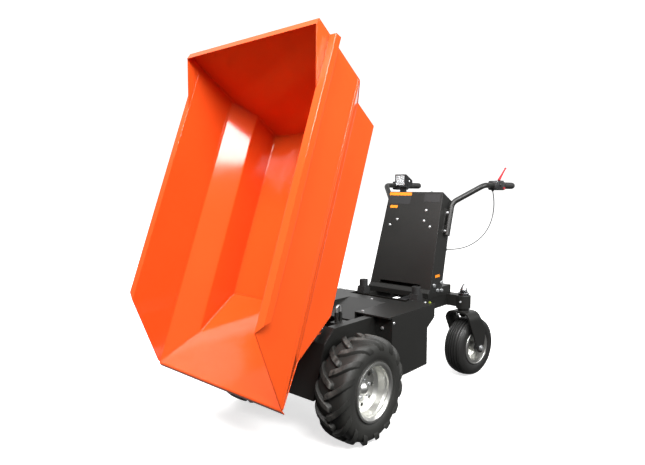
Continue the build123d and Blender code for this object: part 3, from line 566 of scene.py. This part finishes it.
def addBead(mesh, setup, line):
    turns = [2 * pi * k / setup["sides"] for k in range(setup["sides"])]
    run = 0.0
    for start, end in zip(line, line[1:]):
        rings = []
        way = end - start
        count = max(2, int(way.length * 1000 / setup["step"]))
        across = way.normalized().orthogonal().normalized()
        other = way.normalized().cross(across)
        for i in range(count):
            swell = 1 + setup["ripple"] * abs(sin(pi * (run + i * setup["step"]) / setup["pitch"]))
            radius = setup["radius"] / 1000 * swell
            middle = start + way * i / count
            rings.append([middle + (across * cos(turn) + other * sin(turn)) * radius for turn in turns])
        addSkin(mesh, rings)
        run += count * setup["step"]


def makeWelds(setup):
    mesh = bmesh.new()
    half = setup["section"]
    rearStart, rearLean = setup["rear"]
    chuteStart, chuteLean = setup["chute"]
    for side in (1, -1):
        upper = half + [setup["rimTop"]]
        addBead(mesh, setup, [skipAt(rearStart + rearLean * w, side * y, w) for y, w in upper])
        addBead(mesh, setup, [skipAt(chuteStart + chuteLean * w, side * y, w) for y, w in half])
    showPiece("skipWelds", mesh, "skip", "skip_paint", 60.0)


makeWelds(weldBead)
print("welds laid")

# Fasteners: each head is a stack of rings from its seat up (lower radius, upper radius, height, sides)
heads = {
    "hex": [(10.5, 10.5, 1.8, 24), (8.4, 8.4, 5.2, 6), (7.0, 5.6, 0.7, 24)],
    "smallHex": [(8, 8, 1.4, 24), (6.2, 6.2, 4.2, 6), (5.2, 4.2, 0.6, 24)],
    "dome": [(7.4, 7.4, 1.2, 24), (6.2, 5.8, 1.2, 24), (5.8, 4.6, 1.3, 24), (4.6, 2.4, 0.9, 24)],
    "axleNut": [(15, 15, 2.0, 32), (12.5, 12.5, 8.0, 6), (8, 7.4, 2.5, 24)],
    "stemCap": [(27, 27, 8.8, 40), (30, 30, 2.2, 40), (23, 23, 11, 6), (15, 15, 4, 28), (19, 19, 3, 32),
                (18, 9, 20, 32), (9, 6, 3, 24), (4, 4, 5, 16)],
    "stemFoot": [(30, 30, 4, 40), (22, 22, 14, 6), (12, 12, 6, 24)],
    "nipple": [(6, 6, 3, 6), (3.2, 3.2, 4, 16), (4, 3, 2.4, 16), (3, 1.5, 1.4, 16)],
    "screw": [(6.5, 6.5, 0.8, 24), (5.5, 5, 1.2, 24), (5, 3, 1.2, 24)],
}
# Faces that carry fasteners: a point (x, z) on each, how it leans back or falls, and the way it faces
columnFace = {"foot": (-715.0, 468.0), "lean": 144 / 484, "normal": (484, 0, 144)}
columnRear = {"foot": (-833.0, 468.0), "lean": 127 / 432, "normal": (-432, 0, -127)}
panelFace = {"edge": (-859.0, 952.0), "fall": 52 / 101, "normal": (-52, 0, 101)}


def onColumn(face, y, z):
    x, base = face["foot"]
    return x - face["lean"] * (z - base), y, z


def onPanel(back, y):
    x, z = panelFace["edge"]
    return x - back, y, z - panelFace["fall"] * back


def bothSides(places):
    return places + [(x, -y, z) for x, y, z in places]


# name, body, slot, head, axis, places; sideways ones are given for the left and repeated on the right
fasteners = [
    ("columnBolts", "chassis", "bright_steel", "dome", columnFace["normal"],
     [onColumn(columnFace, y, z) for y, z in ((80, 803), (120, 774), (82, 857), (-84, 805), (-124, 775))]),
    ("columnBackScrews", "chassis", "bright_steel", "screw", columnRear["normal"],
     bothSides([onColumn(columnRear, y, z) for y, z in ((168, 492), (161, 680), (153, 868))])),
    ("panelScrews", "chassis", "bright_steel", "screw", panelFace["normal"],
     bothSides([onPanel(back, 146) for back in (14, 88)])),
    ("deckBolts", "chassis", "bright_steel", "dome", (0, 0, 1),
     [(-462, 11, 438), (-566, 241, 438), (-566, -241, 438)] + bothSides([(-231, 129, 438)])),
    ("saddleBolts", "chassis", "bright_steel", "smallHex", (1, 0, 0),
     bothSides([(-882, 177, 845), (-859, 177, 753)])),
    ("bufferBolts", "chassis", "bright_steel", "screw", (0, 0, 1), bothSides([(-621, 158, 489)])),
    ("sleeveNipples", "chassis", "bright_steel", "nipple", (1, 0, 0), bothSides([(-881.2, 263, 393.2)])),
    ("bayBolts", "chassis", "bright_steel", "smallHex", (1, 0, 0),
     bothSides([(-225, 236, 383), (-225, 236, 250)])),
]
sideFasteners = [
    ("columnFootBolts", "bright_steel", "hex",
     [(-829, 181.2, 491), (-752, 181.4, 485), (-788, 182, 455), (-828, 182, 451)]),
    ("boxBolts", "bright_steel", "dome", [(-238, 285, 409)]),
    ("hingeNipples", "bright_steel", "nipple", [(110, 185, 440)]),
]


def makeFasteners(name, body, slot, head, axis, places):
    mesh = bmesh.new()
    for place in places:
        addStack(mesh, placed(at(*place), facing(axis)), heads[head])
    showPiece(name, mesh, body, slot, 30.0)


for fastener in fasteners:
    makeFasteners(*fastener)
for sideName, sideSlot, sideHead, sidePlaces in sideFasteners:
    mirrored = [(x, -y, z) for x, y, z in sidePlaces]
    makeFasteners(sideName + "Left", "chassis", sideSlot, sideHead, (0, 1, 0), sidePlaces)
    makeFasteners(sideName + "Right", "chassis", sideSlot, sideHead, (0, -1, 0), mirrored)

# Fasteners that turn with the wheels and the caster forks
wheelFittings = {
    "hub": {"y": 309.0, "height": 205.0, "circle": 35.0, "count": 5, "first": 0.25, "head": "smallHex"},
    "valve": {"y": 303.0, "circle": 82.0, "angle": 118.0, "lean": 0.5,
              "stack": [(5, 5, 3, 20), (3.4, 3.4, 20, 16), (4, 4, 8, 16)]},
    "axle": {"out": 76.0, "head": "axleNut"},
    "stem": {"z": 424.3, "head": "stemCap"},
    "foot": {"place": (-918.0, 261.0, 336.0), "head": "stemFoot"},
    "rivet": {"ahead": -40.0, "out": -68.0, "z": 304.0, "head": "dome"},
}


def makeHubBolts(setup, valve, side, wheel):
    mesh = bmesh.new()
    for i in range(setup["count"]):
        turn = 2 * pi * (i + setup["first"]) / setup["count"]
        up = setup["height"] + setup["circle"] * sin(turn)
        place = at(setup["circle"] * cos(turn), side * setup["y"], up)
        addStack(mesh, placed(place, facing((0, side, 0))), heads[setup["head"]])
    turn = radians(valve["angle"])
    up = setup["height"] + valve["circle"] * sin(turn)
    place = at(valve["circle"] * cos(turn), side * valve["y"], up)
    lean = (-valve["lean"] * cos(turn), side, -valve["lean"] * sin(turn))
    addStack(mesh, placed(place, facing(lean)), valve["stack"])
    showPiece("hubBolts" + wheel, mesh, "drive_wheel_" + wheel.lower(), "bright_steel", 30.0)


def makeCasterNuts(setup, side, wheel):
    body = "caster_" + wheel.lower()
    axleNut, stem, foot, rivet = (setup[key] for key in ("axle", "stem", "foot", "rivet"))
    middle = Vector(joints["caster_spin_" + wheel.lower()]["pos_m"])
    turn = Matrix.Rotation(radians(casterTyre["toe"]), 4, "Z")
    x, y, z = foot["place"]
    mesh = bmesh.new()
    for way in (1, -1):
        out = turn @ Vector((0, way, 0))
        addStack(mesh, placed(middle + out * axleNut["out"] / 1000, facing(out)), heads[axleNut["head"]])
        inside = turn @ Vector((rivet["ahead"], way * rivet["out"], 0)) / 1000
        place = at(x, side * y, rivet["z"]) + inside
        addStack(mesh, placed(place, facing(out)), heads[rivet["head"]])
    showPiece("casterNuts" + wheel, mesh, body, "bright_steel", 30.0)
    mesh = bmesh.new()
    addStack(mesh, placed(at(x, side * y, stem["z"])), heads[stem["head"]])
    showPiece("stemCap" + wheel, mesh, body, "bright_steel", 30.0, capFinish)
    mesh = bmesh.new()
    addStack(mesh, placed(at(x, side * y, z), facing((0, 0, -1))), heads[foot["head"]])
    showPiece("stemFoot" + wheel, mesh, body, "frame_paint", 30.0)


# Stem nuts: plain turned steel under a film of grease, greyer than zinc and with sharp dark reflections
turnedSteel = {
    "name": "greased_turned_steel",
    "colour": "#9B9C9E", "second": "#88898B", "blotch": 20.0,
    "roughness": (0.2, 0.3), "relief": [(6.0, 0.02)], "edge": 0.8,
    "shader": {"Metallic": 1.0},
}
capFinish = makeFinish(turnedSteel)
for wheelSide, wheelName in ((1, "Left"), (-1, "Right")):
    makeHubBolts(wheelFittings["hub"], wheelFittings["valve"], wheelSide, wheelName)
    makeCasterNuts(wheelFittings, wheelSide, wheelName)
print("fasteners set")

# Orange film: self-adhesive vinyl, flat and a little yellower than the skip's enamel
orangeVinyl = {
    "name": "orange_vinyl_film",
    "colour": "#F7931F", "second": "#F48B1A", "blotch": 40.0,
    "roughness": (0.35, 0.45), "relief": [(8.0, 0.01)], "edge": 0.3,
    "shader": {"IOR": 1.5},
}
# Plain film on the column's front, dark with an orange band (y0, y1, z0, z1), and a mark low on its left side
columnFilm = {
    "thick": 0.5,
    "dark": [(-158, -22, 886, 931), (60, 152, 900, 942)],
    "orange": [(-158, -20, 932, 948), (-141, -95, 865, 879)],
    "mark": (-789, 179.3, 529),
    "markSize": (44, 1.2, 14),
}


def makeFilm(setup):
    normal = Vector(columnFace["normal"]).normalized()
    for name, finish in (("dark", None), ("orange", makeFinish(orangeVinyl))):
        mesh = bmesh.new()
        for y0, y1, z0, z1 in setup[name]:
            corners = [onColumn(columnFace, y, z) for y, z in ((y0, z0), (y1, z0), (y1, z1), (y0, z1))]
            low = [at(*corner) for corner in corners]
            addSkin(mesh, [low, [point + normal * setup["thick"] / 1000 for point in low]])
        if name == "orange":
            addSlab(mesh, placed(at(*setup["mark"])), setup["markSize"])
        showPiece(name + "Film", mesh, "chassis", "panel_plastic", 30.0, finish)


makeFilm(columnFilm)

# Lamp: reflector with diodes behind the lens, and its pivot bolts
lampFitting = {
    "face": (-875.6, -105.0, 1014.5),
    "plate": (0.8, 55.0, 54.0),
    "diodeAhead": 0.6,
    "diodes": [(y, z) for y in (-16, 0, 16) for z in (-13, 13)],
    "diode": [(7.2, 6.4, 1.2, 24), (4.4, 4.0, 1.0, 24), (4.0, 1.6, 0.8, 24)],
    "pivot": (-904.0, 38.0, 1009.0),
}


def makeLampFittings(setup):
    mesh = bmesh.new()
    x, y, z = setup["face"]
    addSlab(mesh, placed(at(x, y, z)), setup["plate"])
    for across, up in setup["diodes"]:
        place = at(x + setup["diodeAhead"], y + across, z + up)
        addStack(mesh, placed(place, facing((1, 0, 0))), setup["diode"])
    showPiece("lampReflector", mesh, "chassis", "lamp_glass", 30.0, makeFinish(whiteEnamel))
    mesh = bmesh.new()
    x, out, z = setup["pivot"]
    for way in (1, -1):
        addStack(mesh, placed(at(x, y + way * out, z), facing((0, way, 0))), heads["screw"])
    showPiece("lampBolts", mesh, "chassis", "bright_steel", 30.0)


makeLampFittings(lampFitting)

# Grips: rings moulded round the sleeve
gripRings = {"start": -1392.0, "end": -1262.0, "pitch": 6.0, "y": 304.0, "z": 988.0,
             "section": [(-2.0, 16.5), (-1.3, 17.9), (0, 18.4), (1.3, 17.9), (2.0, 16.5)], "sides": 40}


def makeGripRings(setup):
    mesh = bmesh.new()
    turn = Matrix.Rotation(pi / 2, 4, "Z")
    count = int((setup["end"] - setup["start"]) / setup["pitch"])
    for side in (1, -1):
        for i in range(count + 1):
            place = at(setup["start"] + i * setup["pitch"], side * setup["y"], setup["z"])
            addTurned(mesh, setup["section"], setup["sides"], placed(place, turn))
    showPiece("gripRings", mesh, "chassis", "grip_rubber", 60.0)


makeGripRings(gripRings)

# Brake lever: a tapered blade with a ball end; stations are (along, width, thickness, lift)
brakeLever = {
    "foot": (-1219.0, 304.0, 1015.0),
    "rise": 38.0,
    "stations": [(-2, 17, 8, 3), (8, 16.5, 8, 4), (30, 13.5, 7.5, 4.5), (60, 10.5, 7, 4.5), (88, 9, 6.5, 4),
                 (98, 9.5, 7, 4), (103, 11.5, 9, 4), (107, 11.5, 9, 4), (110, 8, 6.5, 4)],
    "sides": 16,
}


def makeBrakeLever(setup):
    mesh = bmesh.new()
    rise = radians(setup["rise"])
    along, up = Vector((-cos(rise), 0, sin(rise))), Vector((sin(rise), 0, cos(rise)))
    rings = []
    for run, width, thick, lift in setup["stations"]:
        middle = at(*setup["foot"]) + (along * run + up * lift) / 1000
        ring = []
        for k in range(setup["sides"]):
            turn = 2 * pi * k / setup["sides"]
            out = Vector((0, 1, 0)) * cos(turn) * width / 2 + up * sin(turn) * thick / 2
            ring.append(middle + out / 1000)
        rings.append(ring)
    addSkin(mesh, rings)
    lever = showPiece("brakeLever", mesh, "chassis", "lever_red", 50.0)
    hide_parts("brake_lever")


makeBrakeLever(brakeLever)

# Small controls: switch housings, clamps and buttons on the bars, the wiring trunk behind the deck,
# the key, the gauge's dial and needle, the battery cap
smallControls = {
    "redButtons": bothSides([(-1232.0, 327.0, 972.0)]),
    "greyButtons": bothSides([(-1180.0, 327.0, 992.0)]),
    "button": [(8, 8, 1.5, 24), (6.5, 6.2, 4.5, 24), (6.2, 4, 1.2, 24)],
    "perchScrews": bothSides([(-1190.0, 290.0, 1010.0), (-1162.0, 318.0, 1010.0)]),
    "housing": {"place": (-1199.0, 304.0, 986.0), "size": (94.0, 46.0, 48.0), "round": 7.0},
    "clamp": {"place": (-1139.0, 304.0, 988.0), "size": (20.0, 50.0, 50.0), "round": 9.0},
    "trunk": {"place": (-636.0, 101.0, 414.0), "size": (118.0, 48.0, 40.0), "round": 6.0},
    "gauge": (50.5, 0.0),
    "dial": [(22.6, 22.6, 4.8, 40)],
    "needle": (1.4, 15.0, 0.6),
    "needleLift": 4.9,
    "needleTurn": 0.7,
    "key": (50.5, 62.0),
    "keyStack": [(9, 9, 13.2, 28), (6, 6, 1.5, 28)],
    "keyBow": (2.2, 17.0, 20.0),
    "bowLift": 23.0,
    "cap": (-571.0, 262.0, 438.0),
    "capStack": [(7, 7, 2, 28), (6, 5.6, 4, 28), (5.6, 3.6, 1.2, 28)],
}


def addCase(mesh, place, setup):  # a moulded case with rounded edges
    case = bmesh.new()
    addSlab(case, placed(at(*place)), setup["size"])
    bmesh.ops.bevel(case, geom=case.edges, offset=setup["round"] / 1000, segments=3, profile=0.5,
                    affect="EDGES")
    data = bpy.data.meshes.new("case")
    case.to_mesh(data)
    case.free()
    mesh.from_mesh(data)
    bpy.data.meshes.remove(data)


def makeControls(setup):
    for name, slot, places in (("redButtons", "lever_red", setup["redButtons"]),
                               ("greyButtons", "cable_sheath", setup["greyButtons"])):
        mesh = bmesh.new()
        for place in places:
            addStack(mesh, placed(at(*place), facing((0, place[1], 0))), setup["button"])
        showPiece(name, mesh, "chassis", slot, 30.0)
    mesh = bmesh.new()
    for name in ("housing", "clamp"):
        x, y, z = setup[name]["place"]
        addCase(mesh, (x, y, z), setup[name])
        addCase(mesh, (x, -y, z), setup[name])
    showPiece("switchHousings", mesh, "chassis", "control_plastic", 40.0)
    mesh = bmesh.new()
    addCase(mesh, setup["trunk"]["place"], setup["trunk"])
    showPiece("wiringTrunk", mesh, "chassis", "control_plastic", 40.0)
    makeFasteners("perchScrews", "chassis", "bright_steel", "screw", (0, 0, 1), setup["perchScrews"])
    turn = facing(panelFace["normal"])
    dial = placed(at(*onPanel(*setup["gauge"])), turn)
    mesh = bmesh.new()
    addStack(mesh, dial, setup["dial"])
    showPiece("gaugeDial", mesh, "chassis", "panel_plastic", 30.0, makeFinish(whiteEnamel))
    mesh = bmesh.new()
    lift = Matrix.Translation((0, 0, setup["needleLift"]))
    addSlab(mesh, dial @ lift @ Matrix.Rotation(setup["needleTurn"], 4, "Z"), setup["needle"])
    showPiece("gaugeNeedle", mesh, "chassis", "lever_red", 30.0)
    mesh = bmesh.new()
    key = placed(at(*onPanel(*setup["key"])), turn)
    addStack(mesh, key, setup["keyStack"])
    addSlab(mesh, key @ Matrix.Translation((0, 0, setup["bowLift"])), setup["keyBow"])
    showPiece("ignitionKey", mesh, "chassis", "bright_steel", 30.0)
    mesh = bmesh.new()
    addStack(mesh, placed(at(*setup["cap"])), setup["capStack"])
    showPiece("batteryCap", mesh, "chassis", "battery_case", 30.0, makeFinish(greenPolyethylene))


makeControls(smallControls)
print("small pieces added")

# Studio: pale floor and card, dim room, white backdrop behind the machine, a window and soft lamps
studioSetup = {
    "floor": "#F7F7F5",
    "floorRoughness": 0.9,
    "floorSize": 40.0,
    "floorGlow": (0.68, 1.0),
    "glowReach": (1.3, 3.5),
    "cardRadius": 19.0,
    "cardHeight": 18.0,
    "cardSides": 96,
    "roomStrength": 0.15,
    "belowStrength": 0.4,
    "belowEdge": (-0.35, -0.08),
    "backdropStrength": 1.0,
    "backdropYaw": 221.0,
    "backdropEdge": (0.45, 0.75),
    "windowStrength": 0.4,
    "windowYaw": -84.0,
    "windowHeight": 44.0,
    "windowEdge": (0.86, 0.96),
    "target": (0.0, 0.0, 0.7),
    "lamps": [
        {"name": "frontSoftbox", "yaw": 58.0, "height": 36.5, "far": 4.6, "size": (2.2, 1.1), "power": 195.0},
        {"name": "noseSoftbox", "yaw": 8.0, "height": 48.0, "far": 4.0, "size": (2.6, 1.8), "power": 230.0},
        {"name": "topSoftbox", "yaw": 90.0, "height": 82.0, "far": 3.4, "size": (3.0, 3.0), "power": 50.0},
        {"name": "sideSoftbox", "yaw": 106.0, "height": 26.0, "far": 4.6, "size": (2.0, 1.4), "power": 145.0},
    ],
}


def makeWorld(setup):
    world = bpy.data.worlds.new("studio")
    world.use_nodes = True
    tree = world.node_tree
    tree.nodes.clear()
    look = addNode(tree, "ShaderNodeTexCoord").outputs["Generated"]
    yaw = radians(setup["backdropYaw"])
    backdrop = (cos(yaw), sin(yaw), 0)
    toBackdrop = addNode(tree, "ShaderNodeVectorMath", {"operation": "DOT_PRODUCT", 1: backdrop}, {0: look})
    start, end = setup["backdropEdge"]
    change = {"From Min": start, "From Max": end, "To Min": setup["roomStrength"],
              "To Max": setup["backdropStrength"]}
    wall = addNode(tree, "ShaderNodeMapRange", change, {"Value": toBackdrop.outputs["Value"]})
    height = addNode(tree, "ShaderNodeSeparateXYZ", links={0: look}).outputs["Z"]
    start, end = setup["belowEdge"]
    change = {"From Min": start, "From Max": end, "To Min": setup["belowStrength"]}
    below = addNode(tree, "ShaderNodeMapRange", change, {"Value": height})
    light = addNode(tree, "ShaderNodeMath", {"operation": "MULTIPLY"},
                    {0: wall.outputs["Result"], 1: below.outputs["Result"]})
    yaw, rise = radians(setup["windowYaw"]), radians(setup["windowHeight"])
    window = (cos(yaw) * cos(rise), sin(yaw) * cos(rise), sin(rise))
    toWindow = addNode(tree, "ShaderNodeVectorMath", {"operation": "DOT_PRODUCT", 1: window}, {0: look})
    start, end = setup["windowEdge"]
    change = {"From Min": start, "From Max": end, "To Max": setup["windowStrength"]}
    pane = addNode(tree, "ShaderNodeMapRange", change, {"Value": toWindow.outputs["Value"]})
    light = addNode(tree, "ShaderNodeMath", {"operation": "ADD"},
                    {0: light.outputs[0], 1: pane.outputs["Result"]})
    sky = addNode(tree, "ShaderNodeBackground", {"Color": (1, 1, 1, 1)}, {"Strength": light.outputs[0]})
    addNode(tree, "ShaderNodeOutputWorld", links={"Surface": sky.outputs[0]})
    bpy.context.scene.world = world


def addPale(name, data, setup, glow):  # a pale piece of the studio, and its shader
    piece = bpy.data.objects.new(name, data)
    bpy.context.scene.collection.objects.link(piece)
    finish = bpy.data.materials.new("pale_" + name)
    finish.use_nodes = True
    shader = finish.node_tree.nodes["Principled BSDF"]
    shader.inputs["Base Color"].default_value = linear(setup["floor"])
    shader.inputs["Emission Color"].default_value = (1, 1, 1, 1)
    shader.inputs["Emission Strength"].default_value = glow
    shader.inputs["Roughness"].default_value = setup["floorRoughness"]
    data.materials.append(finish)
    return piece, finish.node_tree, shader


# The floor is white paper that runs up to the card: it glows more with distance, so no horizon shows
def makeFloor(setup):
    half = setup["floorSize"] / 2
    corners = [(-half, -half, 0), (half, -half, 0), (half, half, 0), (-half, half, 0)]
    data = bpy.data.meshes.new("floor")
    data.from_pydata(corners, [], [(0, 1, 2, 3)])
    (start, end), (near, far) = setup["glowReach"], setup["floorGlow"]
    floor, tree, shader = addPale("floor", data, setup, far)
    place = addNode(tree, "ShaderNodeTexCoord").outputs["Object"]
    away = addNode(tree, "ShaderNodeVectorMath", {"operation": "LENGTH"}, {0: place})
    change = {"From Min": start, "From Max": end, "To Min": near, "To Max": far}
    glow = addNode(tree, "ShaderNodeMapRange", change, {"Value": away.outputs["Value"]})
    tree.links.new(glow.outputs["Result"], shader.inputs["Emission Strength"])
    floor.visible_diffuse = False
    floor.visible_glossy = False


# White card all round the floor: it is there to be looked at, so it neither lights nor shades the machine
def makeCard(setup):
    radius, height = setup["cardRadius"], setup["cardHeight"]
    mesh = bmesh.new()
    bmesh.ops.create_cone(mesh, cap_ends=False, segments=setup["cardSides"], radius1=radius, radius2=radius,
                          depth=height, matrix=Matrix.Translation((0, 0, height / 2)))
    data = bpy.data.meshes.new("card")
    mesh.to_mesh(data)
    mesh.free()
    card = addPale("card", data, setup, setup["floorGlow"][1])[0]
    for ray in ("diffuse", "glossy", "transmission", "shadow", "volume_scatter"):
        setattr(card, "visible_" + ray, False)


def makeLamp(setup, target):
    light = bpy.data.lights.new(setup["name"], "AREA")
    light.shape = "RECTANGLE"
    light.size, light.size_y = setup["size"]
    light.energy = setup["power"]
    lamp = bpy.data.objects.new(setup["name"], light)
    yaw, height = radians(setup["yaw"]), radians(setup["height"])
    out = Vector((cos(yaw) * cos(height), sin(yaw) * cos(height), sin(height)))
    lamp.location = Vector(target) + out * setup["far"]
    lamp.rotation_euler = (-out).to_track_quat("-Z", "Y").to_euler()
    bpy.context.scene.collection.objects.link(lamp)


bpy.context.scene.view_settings.view_transform = "Standard"
makeWorld(studioSetup)
makeFloor(studioSetup)
makeCard(studioSetup)
for lampSetup in studioSetup["lamps"]:
    makeLamp(lampSetup, studioSetup["target"])
print("studio lit")
